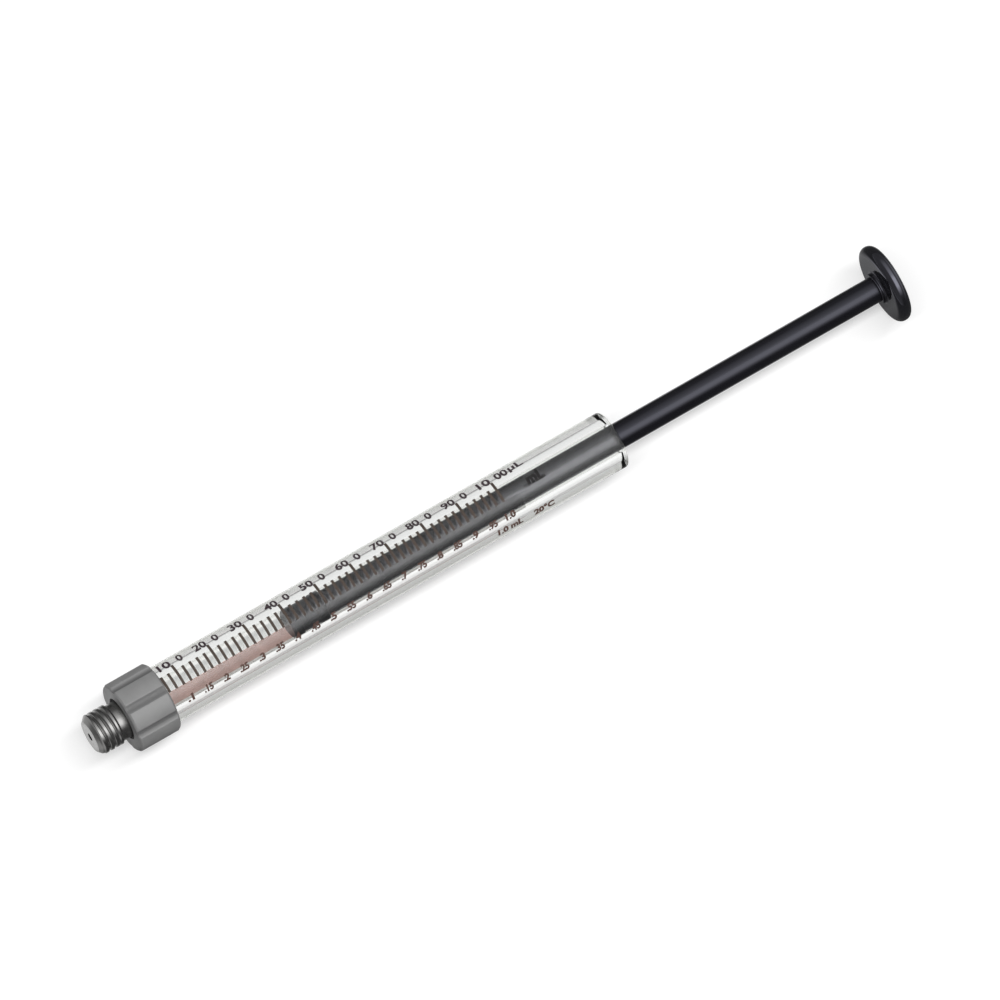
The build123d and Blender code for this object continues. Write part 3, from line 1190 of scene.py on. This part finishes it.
class MICROSYRINGE_OT_nut(bpy.types.Operator):
    """Make the grooved clamp nut and finish the end seal"""

    bl_idname = "microsyringe.nut"
    bl_label = "Clamp Nut"

    def execute(self, context):
        s = context.scene.microsyringe_front
        hole_radius = s.thread_radius + NUT_CLEARANCE
        edge, soft = 0.08 * MM, 0.22 * MM
        section, wear = rounded_section(
            [
                (NUT_FRONT, hole_radius),
                (NUT_FRONT, NUT_R - s.nut_chamfer),
                (NUT_FRONT + s.nut_chamfer, NUT_R),
                (NUT_BACK - s.nut_chamfer, NUT_R),
                (NUT_BACK, NUT_R - s.nut_chamfer),
                (NUT_BACK, FERRULE_R),
                (FLANGE_FRONT, FERRULE_R),
                (FLANGE_FRONT, hole_radius),
            ],
            [edge, edge, edge, edge, edge, edge, 0.03 * MM, 0.05 * MM],
            closed=True,
            steps=5,
        )
        rim = NUT_R - s.nut_chamfer
        outer = section[:, 1:2] > rim - 2 * edge
        inset = np.maximum(rim - section[:, 1:2], 0) * outer

        def grooved(radius, angle):
            """The radius, or the grip outline where that is less.

            A groove is a circle of the cutter's radius k whose centre stands so far out, at a
            distance c, that it cuts to the groove's depth. At an angle d from its middle, the
            outline is c*cos(d) - sqrt(k*k - (c*sin(d))^2). A soft minimum rounds the ridges.
            """
            step = 2 * math.pi / s.groove_count
            away = (angle + step / 2) % step - step / 2
            centre = NUT_R - s.groove_depth + s.groove_cutter
            under = s.groove_cutter**2 - (centre * np.sin(away)) ** 2
            cut = centre * np.cos(away) - np.sqrt(np.maximum(under, 0))
            # Outside the cutter, the outline climbs away so that the soft minimum ignores it.
            outline = cut + np.sqrt(np.maximum(-under, 0))
            wanted = np.maximum(radius, rim)
            near = np.maximum(soft - np.abs(wanted - outline), 0) / soft
            lower = np.minimum(wanted, outline) - near**2 * soft / 4
            return np.where(outer, lower - inset, radius)

        turns = 384
        shape = turned_surface(section, wear, turns, closed=True, radius_of_angle=grooved)
        mesh = new_mesh("grooved_nut", *shape)
        # How deep a point of the outer surface lies in a groove, as a share of the groove's depth:
        # the strength of the painted shade in the grooves.
        points = points_of(mesh)
        around = np.hypot(points[:, 1], points[:, 2] - AXIS_HEIGHT)
        depth = np.repeat(outer * (NUT_R - inset), turns) - around
        give_values(mesh, "painted_groove_shade", np.clip(depth / s.groove_depth, 0, 1))
        satin = satin_finish("satin grey metal", tuple(s.nut_colour))
        new_piece("grooved_nut", mesh, satin, "barrel", ["clamp_nut"])
        white = polymer_finish(
            "white seal polymer",
            tuple(s.seal_colour),
            rough=0.42,
            grain_bump=0.6,
            marks_bump=0.6,
            shine=0.4,
            shine_tint=WHITE,
        )
        finish_node("end_seal", white)
        return {"FINISHED"}


class MICROSYRINGE_OT_plunger(bpy.types.Operator):
    """Make the tip seal, the rod and the push button"""

    bl_idname = "microsyringe.plunger"
    bl_label = "Plunger"

    # The rod's two ends: the head that the tip seal snaps over, and the spigot in the button.
    head_length, spigot_length, spigot_radius = 1.3 * MM, 1.3 * MM, 1.3 * MM
    gap, rod_chamfer, tip_chamfer = 0.05 * MM, 0.15 * MM, 0.15 * MM

    def execute(self, context):
        s = context.scene.microsyringe_plunger
        self.make_tip(s)
        self.make_rod(s)
        self.make_button(s)
        return {"FINISHED"}

    def make_tip(self, s):
        """The tip seal: two wiping lands and a waist, hollow for the rod's head and neck."""
        head_back = HEAD_FRONT + self.head_length + self.gap
        head_front = HEAD_FRONT - self.gap
        head_radius, neck_radius = s.head_radius + self.gap, s.neck_radius + self.gap
        land, waist, lip = s.land_length, s.waist_depth, self.tip_chamfer
        section, wear = rounded_section(
            [
                (TIP_FRONT, 0.0),
                (TIP_FRONT, TIP_R - lip),
                (TIP_FRONT + lip, TIP_R),
                (TIP_FRONT + land, TIP_R),
                (TIP_FRONT + land + waist, TIP_R - waist),
                (TIP_BACK - land - waist, TIP_R - waist),
                (TIP_BACK - land, TIP_R),
                (TIP_BACK - lip, TIP_R),
                (TIP_BACK, TIP_R - lip),
                (TIP_BACK, neck_radius),
                (head_back, neck_radius),
                (head_back, head_radius),
                (head_front, head_radius),
                (head_front, 0.0),
            ],
            0.03 * MM,
            closed=False,
            steps=4,
        )
        mesh = new_mesh("wiper_tip", *turned_surface(section, wear, 96, closed=False))
        look = dict(rough=0.27, grain_bump=0.3, marks_bump=0.4, shine=0.56)
        black = polymer_finish("black seal polymer", tuple(s.tip_colour), **look)
        new_piece("wiper_tip", mesh, black, "tip", ["tip_seal"])

    def make_rod(self, s):
        """The rod with its snap head and neck in front and its spigot behind."""
        head_back = HEAD_FRONT + self.head_length
        rod_front = TIP_BACK + self.gap
        spigot_front = SPIGOT_BACK - self.spigot_length
        section, wear = rounded_section(
            [
                (HEAD_FRONT, 0.0),
                (HEAD_FRONT, s.head_radius),
                (head_back, s.head_radius),
                (head_back, s.neck_radius),
                (rod_front, s.neck_radius),
                (rod_front, ROD_R - self.rod_chamfer),
                (rod_front + self.rod_chamfer, ROD_R),
                (spigot_front, ROD_R),
                (spigot_front, self.spigot_radius),
                (SPIGOT_BACK, self.spigot_radius),
                (SPIGOT_BACK, 0.0),
            ],
            0.04 * MM,
            closed=False,
            steps=4,
        )
        mesh = new_mesh("round_rod", *turned_surface(section, wear, 128, closed=False))
        look = dict(rough=0.2, grain_bump=0.2, marks_bump=0.2, shine=0.58)
        black = polymer_finish("black rod polymer", tuple(s.rod_colour), **look)
        new_piece("round_rod", mesh, black, "plunger", ["plunger_rod"])

    def make_button(self, s):
        """The push button: a round-rimmed disc with a collar, bored for the rod and its spigot."""
        edge = 0.02 * MM
        spigot_front = SPIGOT_BACK - self.spigot_length
        section, wear = rounded_section(
            [
                (COLLAR_FRONT, ROD_R),
                (COLLAR_FRONT, s.collar_radius),
                (spigot_front, s.collar_radius),
                (spigot_front, BUTTON_R),
                (BUTTON_BACK, BUTTON_R),
                (BUTTON_BACK, 0.0),
                (SPIGOT_BACK, 0.0),
                (SPIGOT_BACK, self.spigot_radius),
                (spigot_front, self.spigot_radius),
                (spigot_front, ROD_R),
            ],
            [edge, 0.1 * MM, 0.35 * MM, s.rim_round, s.rim_round, 0, 0, edge, edge, edge],
            closed=True,
            steps=12,
        )
        # The line is cut where it crosses the axis, so that it starts and ends on a pole.
        on_axis = section[:, 1] < 1e-9
        cut = np.flatnonzero(on_axis)[1]
        section, wear, on_axis = (np.roll(each, -cut, axis=0) for each in (section, wear, on_axis))
        on_axis[0] = False
        section = np.concatenate([section[~on_axis], [(BUTTON_BACK, 0.0)]])
        wear = np.append(wear[~on_axis], 0.0)
        mesh = new_mesh("thumb_button", *turned_surface(section, wear, 144, closed=False))
        look = dict(rough=0.05, grain_bump=0.12, marks_bump=0.0, shine=1.4)
        black = polymer_finish("black button polymer", tuple(s.button_colour), **look)
        new_piece("thumb_button", mesh, black, "plunger", ["push_button"])


class MICROSYRINGE_OT_scale(bpy.types.Operator):
    """Print the ticks and the numbers on the barrel, and lay the two bands in its glass"""

    bl_idname = "microsyringe.scale"
    bl_label = "Printed Scale"

    # A number stands with a tick between its second and third digit. pair is the width of two
    # digits in widths of one.
    pair = 2.15
    first_pair, last_digit, last_pair = -0.97 * MM, 1.62 * MM, 1.95 * MM
    # Places past full scale, print angles, heights and widths of the other words.
    unit_place, unit_width = 4.4 * MM, 2.4 * MM
    mark_place, mark_angle, mark_size = 5.8 * MM, math.radians(-6.0), (1.7 * MM, 2.8 * MM)
    low_angle, low_height = math.radians(37.0), 1.2 * MM
    low_letter, low_between = 0.55 * MM, 1.55 * MM
    side_angle, side_height = math.radians(62.0), 1.3 * MM
    side_words = (("1.0 mL", -0.5 * MM, 4.2 * MM), ("20°C", 5.2 * MM, 3.4 * MM))
    # The bands' front and back ends, and how far they lie inside the glass.
    band_front, band_back = 0.1 * MM, 2.6 * MM
    tint_inset, smoke_inset, band_depth = 0.012 * MM, 0.05 * MM, 0.005 * MM

    def execute(self, context):
        s = context.scene.microsyringe_scale
        full = GLASS_FRONT + s.tick_count * s.tick_step
        self.print_ticks(s)
        self.print_numbers(s, full)
        self.print_lower_numbers(s, full)
        if s.tint:
            self.lay_bands(s, full, context.scene.microsyringe_barrel.bore_radius)
        return {"FINISHED"}

    def print_ticks(self, s):
        """The ticks, every fifth one long. The first ones would lie under the clamp nut."""
        steps = np.arange(s.tick_count + 1)
        station = GLASS_FRONT + steps * s.tick_step
        seen = station > GROUND_BACK + s.tick_width
        ends = np.where(steps % 5 == 0, s.long_end, s.short_end)[seen]
        bars = print_slabs(station[seen], s.tick_width, s.tick_start, ends, columns=10)
        printed_piece("scale_ticks", *bars, ink_finish("tick ink", tuple(s.tick_colour)))

    def print_numbers(self, s, full):
        """The numbers 100 to 1000 with their unit, and the mark behind full scale."""
        row = s.digit_angle, s.digit_height
        pair = self.pair * s.digit_width
        words = []
        for number in range(1, 11):
            at = GLASS_FRONT + number * 5 * s.tick_step
            label = str(number * 100)
            words.append((label[:2], at + self.first_pair, *row, pair))
            if len(label) == 3:
                words.append((label[2:], at + self.last_digit, *row, s.digit_width))
            else:
                words.append((label[2:], at + self.last_pair, *row, pair))
        words.append((s.unit, full + self.unit_place, *row, self.unit_width))
        ink = ink_finish("digit ink", tuple(s.digit_colour))
        printed_piece("scale_numbers", *wrapped_words(words), ink)
        mark = s.lower_unit, full + self.mark_place, self.mark_angle, *self.mark_size
        ink = ink_finish("mark ink", tuple(s.mark_colour))
        printed_piece("unit_mark", *wrapped_words([mark], bold=0.05), ink)

    def print_lower_numbers(self, s, full):
        """The lower row of numbers, .1 to 1.0 by halves of a tenth, and the two words below it."""
        row = self.low_angle, self.low_height
        words = []
        for number in range(1, 11):
            at = GLASS_FRONT + number * 5 * s.tick_step
            label = "1.0" if number == 10 else "." + str(number)
            words.append((label, at, *row, self.low_letter * len(label)))
            if number < 10:
                words.append((label + "5", at + 2.5 * s.tick_step, *row, self.low_between))
        for text, place, width in self.side_words:
            words.append((text, full + place, self.side_angle, self.side_height, width))
        ink = ink_finish("lower ink", tuple(s.lower_colour))
        printed_piece("lower_numbers", *wrapped_words(words, bold=0.05), ink)

    def lay_bands(self, s, full, bore):
        """A tinted band behind the bore, beside the scale, and a shading band in front of it: a
        grey film that paints shade over the rod's highlight.
        """
        start, end = GROUND_BACK + self.band_front, full + self.band_back
        tinted = s.tint_start, s.tint_end, 48, bore + self.tint_inset
        # Painted shade: the shading band darkens what is seen through it, most of all the rod's
        # highlight.
        shading = s.smoke_start, s.smoke_end, 24, GLASS_R - self.smoke_inset
        bands = ("tinted_band", tinted, s.tint_colour), ("shading_band", shading, s.smoke_colour)
        for name, band, colour in bands:
            middle = [(start + end) / 2]
            slab = print_slabs(middle, end - start, *band, self.band_depth)
            glass = film_finish(name.replace("_", " ") + " glass", tuple(colour))
            printed_piece(name, *slab, glass)


class MICROSYRINGE_PT_panel(bpy.types.Panel):
    """Sizes, colours and buttons for the microsyringe"""

    bl_idname = "MICROSYRINGE_PT_panel"
    bl_label = "Microsyringe"
    bl_space_type = "VIEW_3D"
    bl_region_type = "UI"
    bl_category = "Microsyringe"

    def draw(self, context):
        layout = self.layout
        for attribute, group in SETTINGS.items():
            box = layout.box()
            box.label(text=group.__doc__)
            settings = getattr(context.scene, attribute)
            for key in group.__annotations__:
                box.prop(settings, key)
        for operator in OPERATORS:
            layout.operator(operator.bl_idname)


OPERATORS = (
    MICROSYRINGE_OT_stage,
    MICROSYRINGE_OT_barrel,
    MICROSYRINGE_OT_fitting,
    MICROSYRINGE_OT_nut,
    MICROSYRINGE_OT_plunger,
    MICROSYRINGE_OT_scale,
)
CLASSES = (*SETTINGS.values(), *OPERATORS, MICROSYRINGE_PT_panel)


def register():
    """Registers the classes and hangs the settings on the scene."""
    for each in CLASSES:
        bpy.utils.register_class(each)
    for attribute, group in SETTINGS.items():
        setattr(bpy.types.Scene, attribute, PointerProperty(type=group))


def unregister():
    """Takes the settings and the classes away again."""
    for attribute in reversed(SETTINGS):
        delattr(bpy.types.Scene, attribute)
    for each in reversed(CLASSES):
        bpy.utils.unregister_class(each)


def main():
    """Registers the add-on and makes every piece in order."""
    register()
    bpy.ops.microsyringe.stage()
    bpy.ops.microsyringe.barrel()
    bpy.ops.microsyringe.fitting()
    bpy.ops.microsyringe.nut()
    bpy.ops.microsyringe.plunger()
    bpy.ops.microsyringe.scale()


if __name__ == "__main__":
    main()
